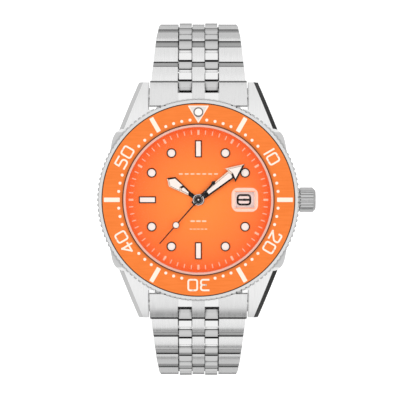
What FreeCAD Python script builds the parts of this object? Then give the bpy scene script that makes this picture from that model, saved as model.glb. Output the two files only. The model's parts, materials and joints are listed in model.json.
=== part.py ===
"""Dive watch: case, turning bezel, hands and movement, crown, bracelet and folding clasp.

Millimetres. The dial faces +Z, twelve o'clock is +Y, the crown is on +X, and z = 0 is the case back's face.
"""
import FreeCAD
import Part
import Sketcher

import math
import os

Vector = FreeCAD.Vector
doc = FreeCAD.newDocument("dive_watch")
sheet = doc.addObject("Spreadsheet::Sheet", "Sizes")
pieces = []


# ---------------------------------------------------------------- named sizes
class Size:
    """A number together with the formula that ties it to the sheet."""

    def __init__(self, value, formula):
        self.value = value
        self.formula = formula

    def __add__(self, other):
        return Size(self.value + value_of(other), f"({self.formula} + {formula_of(other)})")

    def __sub__(self, other):
        return Size(self.value - value_of(other), f"({self.formula} - {formula_of(other)})")

    def __mul__(self, other):
        return Size(self.value * value_of(other), f"({self.formula} * {formula_of(other)})")

    def __neg__(self):
        return Size(-self.value, f"(0 - {self.formula})")


def value_of(size):
    return size.value if isinstance(size, Size) else float(size)


def formula_of(size):
    return size.formula if isinstance(size, Size) else str(size)


sheet_rows = []


def named(alias, number):
    """Put one driving size in the sheet under a plain-word name."""
    sheet_rows.append(alias)
    cell = f"B{len(sheet_rows)}"
    sheet.set(f"A{len(sheet_rows)}", alias)
    sheet.set(cell, str(number))
    sheet.setAlias(cell, alias)
    return Size(number, f"Sizes.{alias}")


# case, in plan and up the axis
case_radius = named("case_radius", 20.2)
case_bottom = named("case_bottom_height", 0.6)
case_shoulder = named("case_shoulder_height", 7.6)
neck_radius = named("neck_radius", 16.6)
neck_top = named("neck_top_height", 9.7)
bore_radius = named("bore_radius", 15.2)
back_ring_radius = named("case_back_ring_radius", 15.7)
back_ring_top = named("case_back_ring_top", 2.2)
gasket_seat = named("crystal_gasket_seat_height", 9.0)
gasket_radius = named("crystal_gasket_radius", 15.4)
lug_tip_reach = named("lug_tip_reach", 23.9)
lug_tip_half = named("lug_tip_half_width", 12.1)
lug_root_reach = named("lug_root_reach", 7.44)
lug_root_half = named("lug_root_half_width", 18.6)
lug_tip_top = named("lug_tip_top_height", 3.5)
lug_curve_radius = named("lug_curve_radius", 18.0)
lug_gap_half = named("lug_gap_half_width", 10.1)
lug_curve_length = 9.6
lug_bevel = named("lug_bevel", 0.85)
bar_reach = named("lug_bar_reach", 20.95)
bar_height = named("lug_bar_height", 3.5)
bar_hole_radius = named("lug_bar_hole_radius", 0.6)
stem_height = named("stem_height", 5.0)
tube_radius = named("crown_tube_radius", 1.5)
# dial side
dial_bottom = named("dial_bottom_height", 6.9)
dial_top = named("dial_top_height", 7.3)
rehaut_inner = named("rehaut_inner_radius", 14.7)
crystal_radius = named("crystal_radius", 15.0)
crystal_top = named("crystal_top_height", 11.2)
crystal_bevel = 0.45
magnifier_at = 9.25
magnifier_size = (5.3, 4.8)
magnifier_rise = 0.95
magnifier_dome_radius = 7.5
hour_hand_bottom = named("hour_hand_bottom", 7.7)
minute_hand_bottom = named("minute_hand_bottom", 8.1)
second_hand_bottom = named("second_hand_bottom", 8.5)
# turning bezel
bezel_bottom = named("bezel_bottom_height", 7.8)
bezel_inner = named("bezel_inner_radius", 16.7)
bezel_radius = named("bezel_radius", 20.3)
insert_inner = named("insert_inner_radius", 15.2)
insert_outer = named("insert_outer_radius", 19.4)
insert_inner_top = named("insert_inner_top", 10.75)
insert_outer_top = named("insert_outer_top", 9.95)
insert_thickness = named("insert_thickness", 0.5)
# movement
plate_radius = named("plate_radius", 12.9)
plate_bottom = named("plate_bottom_height", 4.9)
plate_top = named("plate_top_height", 5.9)
bridge_bottom = named("bridge_bottom_height", 2.55)
bridge_top = named("bridge_top_height", 2.95)
# bracelet and clasp
pitch = named("link_pitch", 4.5)
hinge_reach = named("first_hinge_reach", 23.2)
hinge_height = named("first_hinge_height", 2.3)
barrel_radius = named("link_barrel_radius", 1.05)
knuckle_radius = named("link_knuckle_radius", 1.32)
link_top = named("link_top", 1.35)
link_bottom = named("link_bottom", 1.0)
pin_radius = named("pin_radius", 0.5)
free_bore = named("pin_free_bore_radius", 0.55)
centre_half = named("centre_column_half_width", 1.26)
narrow_inner = named("narrow_column_inner", 1.4)
narrow_outer = named("narrow_column_outer", 3.95)
side_inner = named("side_column_inner", 4.2)
link_crown = named("link_crown_rise", 0.22)
clasp_sagitta = named("clasp_sagitta", 9.5)
doc.recompute()


# ---------------------------------------------------------------- sketches and bodies
def keep(piece, label):
    piece.Label = label
    pieces.append(piece)
    return piece


def new_body(label):
    return keep(doc.addObject("PartDesign::Body", label), label)


ORIGIN, X_AXIS, Y_AXIS = -1, -1, -2
START, END, CENTRE = 1, 2, 3


def hold(sketch, index, point, across, up):
    """Fix a point of one piece of a sketch by its two distances from the origin."""
    for kind, axis, size in (("DistanceX", Y_AXIS, across), ("DistanceY", X_AXIS, up)):
        number = value_of(size)
        if abs(number) < 1e-9:
            sketch.addConstraint(Sketcher.Constraint("PointOnObject", index, point, axis))
            continue
        ends = (ORIGIN, START, index, point) if number > 0 else (index, point, ORIGIN, START)
        row = sketch.addConstraint(Sketcher.Constraint(kind, *ends, abs(number)))
        if isinstance(size, Size):
            sketch.setExpression(f"Constraints[{row}]", formula_of(size if number > 0 else -size))


def new_sketch(body, role, lift=0.0):
    sketch = body.newObject("Sketcher::SketchObject", body.Label + "_outline")
    plane = [item for item in body.Origin.OriginFeatures if item.Role == role][0]
    sketch.AttachmentSupport = [(plane, "")]
    sketch.MapMode = "FlatFace"
    if value_of(lift):
        sketch.AttachmentOffset = FreeCAD.Placement(Vector(0, 0, value_of(lift)), FreeCAD.Rotation())
    if isinstance(lift, Size):
        sketch.setExpression("AttachmentOffset.Base.z", lift.formula)
    return sketch


def add_outline(sketch, corners):
    """A closed outline of straight sides; each corner is a pair of sizes."""
    first = sketch.GeometryCount
    points = [Vector(value_of(across), value_of(up), 0) for across, up in corners]
    count = len(points)
    for i in range(count):
        sketch.addGeometry(Part.LineSegment(points[i], points[(i + 1) % count]))
    for i in range(count):
        here = first + i
        sketch.addConstraint(Sketcher.Constraint("Coincident", here, END, first + (i + 1) % count, START))
    for i, (across, up) in enumerate(corners):
        hold(sketch, first + i, START, across, up)


def add_circle(sketch, across, up, radius):
    """A full circle held by its centre and radius."""
    centre = Vector(value_of(across), value_of(up), 0)
    index = sketch.addGeometry(Part.Circle(centre, Vector(0, 0, 1), value_of(radius)))
    hold(sketch, index, CENTRE, across, up)
    row = sketch.addConstraint(Sketcher.Constraint("Radius", index, value_of(radius)))
    sketch.setExpression(f"Constraints[{row}]", formula_of(radius))


def feature(body, kind, sketch, **settings):
    step = body.newObject("PartDesign::" + kind, body.Label + "_" + kind.lower())
    step.Profile = sketch
    sketch.Visibility = False
    for name, setting in settings.items():
        if isinstance(setting, Size):
            setattr(step, name, setting.value)
            step.setExpression(name, setting.formula)
        else:
            setattr(step, name, setting)
    return step


def turned(body, corners, kind="Revolution"):
    """Spin a radius-and-height outline about the watch's axis, adding or (Groove) removing."""
    sketch = new_sketch(body, "XZ_Plane")
    add_outline(sketch, corners)
    return feature(body, kind, sketch, ReferenceAxis=(sketch, ["V_Axis"]), Angle=360)


def turned_body(label, corners):
    body = new_body(label)
    turned(body, corners)
    return body


def ring_corners(inner, outer, bottom, top):
    return [(inner, bottom), (outer, bottom), (outer, top), (inner, top)]


# ---------------------------------------------------------------- shapes without sketches
def solid(label, shapes, placement=None):
    """One named piece from one shape, or from several that stay separate solids."""
    piece = doc.addObject("Part::Feature", label)
    shapes = shapes if isinstance(shapes, list) else [shapes]
    piece.Shape = shapes[0] if len(shapes) == 1 else Part.makeCompound(shapes)
    if placement:
        piece.Placement = placement
    return keep(piece, label)


def disc(radius, bottom, top, at=(0, 0)):
    return Part.makeCylinder(radius, top - bottom, Vector(at[0], at[1], bottom))


def tube(inner, outer, bottom, top, at=(0, 0)):
    return disc(outer, bottom, top, at).cut(disc(inner, bottom - 1, top + 1, at))


def plan_prism(corners, bottom, top):
    """A straight-sided outline seen from above, raised between two heights."""
    points = [Vector(x, y, bottom) for x, y in corners]
    face = Part.Face(Part.makePolygon(points + points[:1]))
    return face.extrude(Vector(0, 0, top - bottom))


def side_prism(corners, left, right):
    """A straight-sided outline seen from the side (y, z), spread across x."""
    points = [Vector(left, y, z) for y, z in corners]
    face = Part.Face(Part.makePolygon(points + points[:1]))
    return face.extrude(Vector(right - left, 0, 0))


def crowned_prism(start, end, rise, rest, left, right):
    """A side outline whose top is an arc from start to end, closed through the other corners."""
    (y1, z1), (y2, z2) = start, end
    length = math.hypot(y2 - y1, z2 - z1)
    middle = ((y1 + y2) / 2 + (z1 - z2) / length * rise, (z1 + z2) / 2 + (y2 - y1) / length * rise)
    crown = Part.Arc(*[Vector(left, y, z) for y, z in (start, middle, end)]).toShape()
    path = Part.makePolygon([Vector(left, y, z) for y, z in [end] + rest + [start]])
    return Part.Face(Part.Wire([crown] + path.Edges)).extrude(Vector(right - left, 0, 0))


def cross_rod(radius, y, z, left, right):
    return Part.makeCylinder(radius, right - left, Vector(left, y, z), Vector(1, 0, 0))


def polar(radius, degrees):
    angle = math.radians(degrees)
    return radius * math.cos(angle), radius * math.sin(angle)


def joined(shapes):
    return shapes[0].fuse(shapes[1:]).removeSplitter()


# ---------------------------------------------------------------- case
def make_mid_case():
    body = new_body("mid_case")
    plan = new_sketch(body, "XY_Plane", case_bottom)
    quarter = [(lug_root_half, lug_root_reach), (lug_tip_half, lug_tip_reach)]
    add_outline(plan, quarter + [(-x, y) for x, y in quarter[::-1]]
                + [(-x, -y) for x, y in quarter] + [(x, -y) for x, y in quarter[::-1]])
    feature(body, "Pad", plan, Length=case_shoulder - case_bottom)
    cut_lug_tops(body)
    gap = new_sketch(body, "XY_Plane")
    for side in (1, -1):
        inner, outer = case_radius * side * 0.9, lug_tip_reach * side * 1.05
        add_outline(gap, [(lug_gap_half, inner), (lug_gap_half, outer),
                          (-lug_gap_half, outer), (-lug_gap_half, inner)])
    feature(body, "Pocket", gap, Type="ThroughAll", Midplane=True)
    doc.recompute()
    bevel_lugs(body)
    edge = case_shoulder - 0.5
    turned(body, [(12, case_bottom), (case_radius - 1.4, case_bottom), (case_radius, case_bottom + 1.2),
                  (case_radius, edge), (case_radius - 0.5, case_shoulder), (neck_radius, case_shoulder),
                  (neck_radius, neck_top), (12, neck_top)])
    turned(body, [(0, 0), (back_ring_radius, 0), (back_ring_radius, back_ring_top),
                  (bore_radius, back_ring_top), (bore_radius, gasket_seat), (gasket_radius, gasket_seat),
                  (gasket_radius, neck_top + 1), (0, neck_top + 1)], "Groove")
    bars = new_sketch(body, "YZ_Plane", Size(-11.2, "(0 - 11.2)"))
    for side in (1, -1):
        add_circle(bars, bar_reach * side, bar_height, bar_hole_radius)
    feature(body, "Pocket", bars, Length=22.4, Reversed=True)
    stem_hole = new_sketch(body, "YZ_Plane", 10.0)
    add_circle(stem_hole, 0, stem_height, tube_radius)
    feature(body, "Pocket", stem_hole, Length=12.0, Reversed=True)


def cut_lug_tops(body):
    """Round the lugs down to their tips with one large arc on each side."""
    sketch = new_sketch(body, "YZ_Plane")
    above = value_of(case_shoulder) + 1
    for side in (1, -1):
        tip = Vector(value_of(lug_tip_reach) * side, value_of(lug_tip_top), 0)
        crest = Vector(tip.x - lug_curve_length * side, value_of(case_shoulder), 0)
        beyond = tip.x + side
        path = [tip, Vector(beyond, tip.y - 1, 0), Vector(beyond, above, 0), Vector(crest.x, above, 0), crest]
        curve = sketch.GeometryCount
        sketch.addGeometry(arc_between(crest, tip, value_of(lug_curve_radius), side))
        for a, b in zip(path[:-1], path[1:]):
            sketch.addGeometry(Part.LineSegment(a, b))
        last = curve + len(path) - 1
        starts_at_crest = (sketch.getPoint(curve, START) - crest).Length < 1e-6
        crest_end, tip_end = (START, END) if starts_at_crest else (END, START)
        sketch.addConstraint(Sketcher.Constraint("Coincident", curve, tip_end, curve + 1, START))
        for line in range(curve + 1, last):
            sketch.addConstraint(Sketcher.Constraint("Coincident", line, END, line + 1, START))
        sketch.addConstraint(Sketcher.Constraint("Coincident", last, END, curve, crest_end))
        hold(sketch, curve + 1, START, lug_tip_reach * side, lug_tip_top)
        row = sketch.addConstraint(Sketcher.Constraint("Radius", curve, lug_curve_radius.value))
        sketch.setExpression(f"Constraints[{row}]", lug_curve_radius.formula)
        for order, corner in enumerate(path[1:-1], 2):
            hold(sketch, curve + order, START, corner.x, corner.y)
    feature(body, "Pocket", sketch, Type="ThroughAll", Midplane=True)


def arc_between(start, end, radius, side):
    """The upward-bulging arc of a given radius between two points."""
    chord = end - start
    middle = (start + end) * 0.5
    normal = Vector(-chord.y, chord.x, 0).normalize() * side
    drop = math.sqrt(radius ** 2 - (chord.Length / 2) ** 2)
    return Part.Arc(start, middle + normal * (radius - drop), end)


def bevel_lugs(body):
    """Bevel the long outer top edge of each lug."""
    names = []
    for number, edge in enumerate(body.Shape.Edges, 1):
        middle = edge.CenterOfMass
        above_tip = edge.BoundBox.ZMin > lug_tip_top.value - 0.1
        outer = abs(middle.x) > lug_gap_half.value + 1.5
        sloping = edge.Length > 5 and abs(middle.y) > 12 and edge.BoundBox.ZLength > 1
        if above_tip and outer and sloping:
            names.append(f"Edge{number}")
    base = body.Tip
    step = body.newObject("PartDesign::Chamfer", "lug_bevels")
    step.Base = (base, names)
    step.Size = lug_bevel.value
    step.setExpression("Size", lug_bevel.formula)


def make_case_trim():
    back_face = 17.2
    groove_in, groove_out, groove_floor = 16.0, 16.7, 0.35
    turned_body("case_back", [(0, 0), (back_face - 0.3, 0), (back_face, 0.3), (back_face, case_bottom),
                              (groove_out, case_bottom), (groove_out, groove_floor),
                              (groove_in, groove_floor), (groove_in, case_bottom),
                              (back_ring_radius, case_bottom), (back_ring_radius, back_ring_top),
                              (14.2, back_ring_top), (14.2, 1.4), (0, 1.4)])
    turned_body("case_back_gasket", ring_corners(groove_in, groove_out, groove_floor, case_bottom))
    turned_body("crystal_gasket", ring_corners(crystal_radius, gasket_radius, gasket_seat, neck_top))
    turned_body("crystal", [(0, gasket_seat), (crystal_radius, gasket_seat),
                            (crystal_radius, crystal_top - crystal_bevel),
                            (crystal_radius - crystal_bevel, crystal_top), (0, crystal_top)])
    turned_body("rehaut_ring", [(rehaut_inner, dial_top), (bore_radius, dial_top), (bore_radius, gasket_seat),
                                (rehaut_inner + 0.25, gasket_seat)])
    make_magnifier()
    height = stem_height.value
    shell = Part.makeCylinder(tube_radius.value, 6.2, Vector(15.2, 0, height), Vector(1, 0, 0))
    bore = Part.makeCylinder(0.42, 10, Vector(13, 0, height), Vector(1, 0, 0))
    inside = disc(bore_radius.value, 0, 12)
    solid("crown_tube", shell.cut([bore, inside]))
    make_click_spring()


def make_magnifier():
    """A domed lens over the date window, with rounded corners, just clear of the crystal's face."""
    wide, tall = magnifier_size
    low = crystal_top.value + 0.01
    block = Part.makeBox(wide, tall, magnifier_rise, Vector(magnifier_at - wide / 2, -tall / 2, low))
    upright = [edge for edge in block.Edges if edge.BoundBox.ZLength > magnifier_rise / 2]
    block = block.makeFillet(1.35, upright)
    ball = Part.makeSphere(magnifier_dome_radius,
                           Vector(magnifier_at, 0, low + magnifier_rise - magnifier_dome_radius))
    lens = block.common(ball)
    rim = [edge for edge in lens.Edges if edge.BoundBox.ZMin > low + 0.1]
    solid("date_magnifier", lens.makeFillet(0.2, rim))


def make_click_spring():
    body = new_body("bezel_click_spring")
    spring = new_sketch(body, "XY_Plane", case_shoulder)
    add_outline(spring, [(-3.0, 17.0), (3.0, 17.0), (3.2, 18.2), (-3.2, 18.2)])
    feature(body, "Pad", spring, Length=0.15)


end_link_half = 9.85
end_skirt_half = 10.02


def make_end_link(label, turn):
    """The solid end piece between two lugs, with the hinge barrels and the pin of the first link."""
    y, z = hinge_reach.value, hinge_height.value
    crest, nose = (19.0, 7.3), (23.85, 3.7)
    under = [(23.85, 3.4), (23.7, 3.1), (23.2, 3.1), (22.2, 1.3), (19.0, 1.3)]
    skirt = [(19.0, 1.3), (22.2, 1.3), (22.9, 2.5), (19.0, 2.5)]
    blank = joined([crowned_prism(crest, nose, 0.25, under, -end_link_half, end_link_half),
                    side_prism(skirt, -end_skirt_half, end_skirt_half),
                    cross_rod(barrel_radius.value, y, z, -end_link_half, end_link_half)])
    cuts = [disc(case_radius.value + 0.1, 0, 12), cross_rod(bar_hole_radius.value, bar_reach.value,
                                                            bar_height.value, -11, 11)]
    for side in (1, -1):
        left, right = sorted((side * centre_half.value, side * side_inner.value))
        cuts.append(Part.makeBox(right - left, 4, 8, Vector(left, 21.6, 0)))
    cuts.append(cross_rod(pin_radius.value, y, z, -11, 11))
    pin = cross_rod(pin_radius.value, y, z, -9.4, 9.4)
    place = FreeCAD.Placement(Vector(0, 0, 0), FreeCAD.Rotation(Vector(0, 0, 1), turn))
    solid(label, [blank.cut(cuts), pin], place)


def make_spring_bars():
    bars = [cross_rod(bar_hole_radius.value - 0.03, bar_reach.value * side, bar_height.value, -11.1, 11.1)
            for side in (1, -1)]
    solid("spring_bars", bars)


# ---------------------------------------------------------------- turning bezel
def toothed_corners(teeth, root, tip, root_share, tip_share, phase=0.0):
    """A ring of trapezoid teeth; the shares are how much of a pitch each tooth fills at root and tip."""
    corners = []
    step = 360.0 / teeth
    for i in range(teeth):
        middle = phase + i * step
        corners.append(polar(root, middle - step * root_share / 2))
        corners.append(polar(tip, middle - step * tip_share / 2))
        corners.append(polar(tip, middle + step * tip_share / 2))
        corners.append(polar(root, middle + step * root_share / 2))
    return corners


def spun(corners):
    """Spin a radius-and-height outline about the watch's axis."""
    points = [Vector(radius, 0, height) for radius, height in corners]
    face = Part.Face(Part.makePolygon(points + points[:1]))
    return face.revolve(Vector(0, 0, 0), Vector(0, 0, 1), 360)


def make_bezel():
    rim = bezel_radius.value
    inner, outer = insert_inner.value, insert_outer.value
    seat_in = insert_inner_top.value - insert_thickness.value
    seat_out = insert_outer_top.value - insert_thickness.value
    bottom = bezel_bottom.value
    ring = spun([(bezel_inner.value, bottom), (rim - 0.3, bottom), (rim, bottom + 0.3), (rim, 9.35),
                 (rim - 0.35, 9.85), (outer, insert_outer_top.value), (outer, seat_out), (inner, seat_in),
                 (inner, 9.85), (bezel_inner.value, 9.85)])
    grip = plan_prism(toothed_corners(120, rim - 0.42, rim + 0.1, 0.8, 0.42), 7, 12)
    solid("bezel_ring", ring.common(grip))
    turned_body("bezel_insert", [(insert_inner, insert_inner_top - insert_thickness),
                                 (insert_outer, insert_outer_top - insert_thickness),
                                 (insert_outer, insert_outer_top), (insert_inner, insert_inner_top)])


# ---------------------------------------------------------------- dial and hands
marker_radius = 10.85
bar_marker_span = (8.56, 11.96)
date_window_span = (7.75, 10.75)
date_window_half = 1.12
hand_thickness = 0.15
hour_angle, minute_angle, second_angle = 304.4, 52.4, 221.5


def make_dial():
    body = turned_body("dial", [(1.1, dial_bottom), (bore_radius, dial_bottom), (bore_radius, dial_top),
                                (1.1, dial_top)])
    window = new_sketch(body, "XY_Plane", dial_top)
    left, right = date_window_span
    add_outline(window, [(left, -date_window_half), (right, -date_window_half),
                         (right, date_window_half), (left, date_window_half)])
    feature(body, "Pocket", window, Length=2.0)


def make_hour_markers():
    """Open-topped cups: round ones on most hours, long ones at twelve, six and nine."""
    cups = []
    low = dial_top.value
    for hour in (1, 2, 4, 5, 7, 8, 10, 11):
        at = polar(marker_radius, 90 - 30 * hour)
        cups.append(disc(0.95, low, low + 0.35, at).cut(disc(0.78, low + 0.12, low + 1, at)))
    start, end = bar_marker_span
    for degrees in (90, 180, 270):
        cup = Part.makeBox(end - start, 1.33, 0.35, Vector(start, -0.665, low))
        cup = cup.cut(Part.makeBox(end - start - 0.4, 0.93, 1, Vector(start + 0.2, -0.465, low + 0.12)))
        cup.rotate(Vector(0, 0, 0), Vector(0, 0, 1), degrees)
        cups.append(cup)
    solid("hour_markers", cups)


def mirrored(corners):
    """Both halves of an outline given from the middle line out to +x and back."""
    return [corner for corner in corners if corner[0]] + [(-x, y) for x, y in corners[::-1]]


def make_hand(label, outline, openings, hub, bore, bottom, degrees):
    """A flat hand drawn pointing at twelve and turned clockwise to its place."""
    body = new_body(label)
    sketch = new_sketch(body, "XY_Plane", bottom)
    add_outline(sketch, mirrored(outline))
    feature(body, "Pad", sketch, Length=hand_thickness)
    boss = new_sketch(body, "XY_Plane", bottom)
    add_circle(boss, 0, 0, hub)
    feature(body, "Pad", boss, Length=hand_thickness)
    cuts = new_sketch(body, "XY_Plane", bottom)
    add_circle(cuts, 0, 0, bore)
    for opening in openings:
        add_outline(cuts, mirrored(opening))
    feature(body, "Pocket", cuts, Type="ThroughAll", Midplane=True)
    body.Placement = FreeCAD.Placement(Vector(0, 0, 0), FreeCAD.Rotation(Vector(0, 0, 1), -degrees))


def make_hands():
    """Framed hour and minute hands, and a thin second hand with a ring near its middle."""
    hour_openings = [[(0.2, 2.4), (0.42, 3.85), (0, 4.15)], [(0, 4.5), (0.62, 4.15), (0.93, 6.3), (0, 7.25)]]
    make_hand("hour_hand", [(0.42, -1.2), (0.4, 2.2), (1.145, 6.4), (0, 7.67)], hour_openings, 1.12, 0.9,
              hour_hand_bottom, hour_angle)
    minute_openings = [[(0.42, 2.3), (0.62, 8.15), (0, 8.4)], [(0, 8.7), (1.3, 8.4), (0, 11.2)]]
    make_hand("minute_hand", [(0.5, -1.4), (0.68, 2.0), (0.9, 8.3), (1.73, 8.07), (0, 11.8)], minute_openings,
              0.95, 0.55, minute_hand_bottom, minute_angle)
    thickness = 0.12
    body = new_body("second_hand")
    sketch = new_sketch(body, "XY_Plane", second_hand_bottom)
    add_outline(sketch, mirrored([(0.2, -5.0), (0.14, 0), (0.1, 11.77)]))
    feature(body, "Pad", sketch, Length=thickness)
    for reach, radius in ((6.8, 0.7), (-4.5, 0.38), (0, 0.84)):
        boss = new_sketch(body, "XY_Plane", second_hand_bottom)
        add_circle(boss, 0, reach, radius)
        feature(body, "Pad", boss, Length=thickness)
    cuts = new_sketch(body, "XY_Plane", second_hand_bottom)
    add_circle(cuts, 0, 0, 0.15)
    add_circle(cuts, 0, 6.8, 0.55)
    feature(body, "Pocket", cuts, Type="ThroughAll", Midplane=True)
    body.Placement = FreeCAD.Placement(Vector(0, 0, 0), FreeCAD.Rotation(Vector(0, 0, 1), -second_angle))


# ---------------------------------------------------------------- movement
third_at = polar(4.6, 210)
barrel_at = (0, 5.88)
escape_at = polar(4.455, 320)
balance_at = (5.1, -6.1)
minute_wheel_at = polar(3.0, 120)
toward_balance = math.degrees(math.atan2(balance_at[1] - escape_at[1], balance_at[0] - escape_at[0]))
pallet_at = (escape_at[0] + 2.75 * math.cos(math.radians(toward_balance)),
             escape_at[1] + 2.75 * math.sin(math.radians(toward_balance)))


def gear(teeth, module, bottom, top, at=(0, 0), phase=0.0):
    root, tip = module * (teeth / 2 - 1.05), module * (teeth / 2 + 0.75)
    prism = plan_prism(toothed_corners(teeth, root, tip, 0.6, 0.24, phase), bottom, top)
    prism.translate(Vector(at[0], at[1], 0))
    return prism


def facing(teeth, degrees):
    """The phase that puts a gap of the driven wheel opposite a tooth that lies in that direction."""
    return degrees + 180.0 + 180.0 / teeth


def windows(inner, outer, bottom, top, at, arms, width):
    """The openings between the arms of a spoked wheel."""
    gaps = tube(inner, outer, bottom - 0.5, top + 0.5, at)
    for i in range(arms):
        arm = Part.makeBox(outer, width, 5, Vector(at[0], at[1] - width / 2, bottom - 1))
        arm.rotate(Vector(at[0], at[1], 0), Vector(0, 0, 1), i * 360.0 / arms)
        gaps = gaps.cut(arm)
    return gaps


def make_plates():
    low, high = plate_bottom.value, plate_top.value
    height = stem_height.value
    holes = [disc(0.45, low - 1, high + 1), disc(0.43, low - 1, high + 1, barrel_at)]
    holes += [disc(0.23, low - 1, high + 1, third_at), disc(0.15, low - 1, high + 1, balance_at)]
    holes.append(Part.makeBox(8, 1.0, 1.0, Vector(6.4, -0.5, height - 0.5)))
    holes.append(Part.makeBox(1.7, 2.5, 1.6, Vector(7.95, -1.25, low - 0.2)))
    shafts = [disc(0.35, 2, 5.4, polar(12.2, angle)) for angle in (45, 135, 225, 315)]
    plate = disc(plate_radius.value, low, high)
    post = disc(0.2, high, 6.6, minute_wheel_at)
    solid("main_plate", joined([plate, post]).cut(holes + shafts))
    floor = disc(plate_radius.value, bridge_bottom.value, bridge_top.value)
    wall = tube(11.5, plate_radius.value, bridge_top.value, low)
    rotor_post = disc(0.5, 1.62, bridge_bottom.value)
    cuts = [disc(0.18, 2, 4), disc(0.43, 2, 4, barrel_at), disc(0.23, 2, 4, third_at)]
    cuts += [disc(0.15, 2, 4, escape_at), disc(0.15, 2, 4, balance_at), disc(0.13, 2, 4, pallet_at)]
    cuts.append(Part.makeBox(3, 1.2, 1.2, Vector(11, -0.6, height - 0.6)))
    heads = [disc(0.6, 2, 2.8, polar(12.2, angle)) for angle in (45, 135, 225, 315)]
    solid("train_bridge", joined([floor, wall, rotor_post]).cut(cuts + shafts + heads))
    screws = []
    for angle in (45, 135, 225, 315):
        at = polar(12.2, angle)
        screw = joined([disc(0.6, 2.56, 2.8, at), disc(0.35, 2.7, 5.35, at)])
        slot = Part.makeBox(1.3, 0.16, 0.2, Vector(at[0] - 0.65, at[1] - 0.08, 2.46))
        screws.append(screw.cut(slot))
    solid("movement_screws", screws)
    holder = tube(plate_radius.value, bore_radius.value, back_ring_top.value, dial_bottom.value)
    channel = Part.makeCylinder(0.6, 5, Vector(12, 0, height), Vector(1, 0, 0))
    solid("movement_holder", holder.cut(channel))


def make_train():
    drum = joined([disc(4.6, 3.35, 4.0, barrel_at), disc(0.4, 2.6, 5.6, barrel_at),
                   gear(60, 0.168, 4.0, 4.45, barrel_at, 270)])
    solid("mainspring_barrel", drum)
    centre = joined([gear(60, 0.1353, 4.6, 4.8, phase=210), disc(0.42, 3.9, 6.35),
                     gear(10, 0.168, 3.95, 4.5, phase=facing(10, 270))])
    centre = centre.cut([disc(0.2, 3, 7), windows(1.1, 3.2, 4.6, 4.8, (0, 0), 4, 0.6)])
    solid("centre_wheel", centre)
    third = joined([gear(64, 0.12778, 3.55, 3.75, third_at, 30), disc(0.2, 2.6, 5.5, third_at),
                    gear(8, 0.1353, 4.5, 4.88, third_at, facing(8, 210))])
    solid("third_wheel", third.cut(windows(0.9, 3.3, 3.55, 3.75, third_at, 4, 0.6)))
    fourth = joined([gear(60, 0.135, 3.05, 3.25, phase=320), disc(0.15, 2.6, 8.66),
                     gear(8, 0.12778, 3.45, 3.85, phase=facing(8, 30))])
    fourth = joined([fourth, disc(0.4, 3.25, 3.45)])
    solid("fourth_wheel", fourth.cut(windows(0.9, 3.2, 3.05, 3.25, (0, 0), 5, 0.5)))
    wheel = plan_prism(toothed_corners(15, 1.45, 2.0, 0.5, 0.12), 3.4, 3.55)
    wheel.translate(Vector(escape_at[0], escape_at[1], 0))
    pinion = gear(6, 0.135, 3.0, 3.35, escape_at, facing(6, 320))
    escape = joined([wheel, pinion, disc(0.12, 2.6, 4.4, escape_at), disc(0.3, 3.3, 3.5, escape_at)])
    solid("escape_wheel", escape.cut(windows(0.5, 1.2, 3.4, 3.55, escape_at, 4, 0.3)))
    make_pallet_and_balance()
    make_motion_work()


def make_pallet_and_balance():
    arc = tube(2.25, 2.5, 3.4, 3.6, escape_at)
    reach = Part.makeBox(3.0, 3.0, 1.0, Vector(escape_at[0], escape_at[1] - 1.5, 3))
    reach.rotate(Vector(escape_at[0], escape_at[1], 0), Vector(0, 0, 1), toward_balance)
    stem = Part.makeBox(0.5, 0.4, 0.2, Vector(escape_at[0] + 2.4, escape_at[1] - 0.2, 3.4))
    stem.rotate(Vector(escape_at[0], escape_at[1], 0), Vector(0, 0, 1), toward_balance)
    boss, staff = disc(0.3, 3.4, 3.6, pallet_at), disc(0.1, 2.6, 3.95, pallet_at)
    solid("pallet_fork", joined([arc.common(reach), stem, boss, staff]))
    rim = tube(2.9, 3.4, 4.2, 4.5, balance_at)
    arms = Part.makeBox(6.2, 0.4, 0.15, Vector(balance_at[0] - 3.1, balance_at[1] - 0.2, 4.25))
    staff = joined([disc(0.12, 2.6, 5.6, balance_at), disc(0.35, 4.15, 4.45, balance_at)])
    spring = tube(1.3, 1.36, 4.55, 4.75, balance_at)
    holder = Part.makeBox(1.4, 0.12, 0.35, Vector(balance_at[0], balance_at[1] - 0.06, 4.4))
    solid("balance_wheel", joined([rim, arms, staff, spring, holder]))


def make_motion_work():
    cannon = joined([gear(12, 0.125, 5.95, 6.2, phase=120), disc(0.55, 6.0, 8.3)])
    solid("cannon_pinion", cannon.cut([disc(0.42, 5, 6.35), disc(0.2, 6, 9)]))
    wheel = joined([gear(36, 0.125, 5.98, 6.18, minute_wheel_at, facing(36, 120)),
                    gear(10, 0.12, 6.18, 6.5, minute_wheel_at, 300)])
    solid("minute_wheel", wheel.cut(disc(0.23, 5, 8, minute_wheel_at)))
    hour = joined([gear(40, 0.12, 6.25, 6.45, phase=facing(40, 300)), disc(0.9, 6.3, 7.88)])
    solid("hour_wheel", hour.cut(disc(0.6, 5, 9)))
    low, high = 5.98, 6.3
    opening = plan_prism(toothed_corners(31, 7.5, 7.15, 0.9, 0.5), low, high)
    solid("date_ring", disc(11.2, low, high).cut(opening))


def make_rotor():
    web = disc(12.3, 1.62, 1.95)
    weight = tube(9.6, 12.3, 1.62, 2.4)
    half = Part.makeBox(30, 15, 4, Vector(-15, -15, 0))
    rotor = joined([web.common(half), weight.common(half), disc(1.6, 1.62, 2.2)])
    solid("rotor", rotor.cut([disc(0.53, 1, 3), windows(3.0, 8.2, 1.62, 1.95, (0, 0), 6, 1.2)]))


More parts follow.
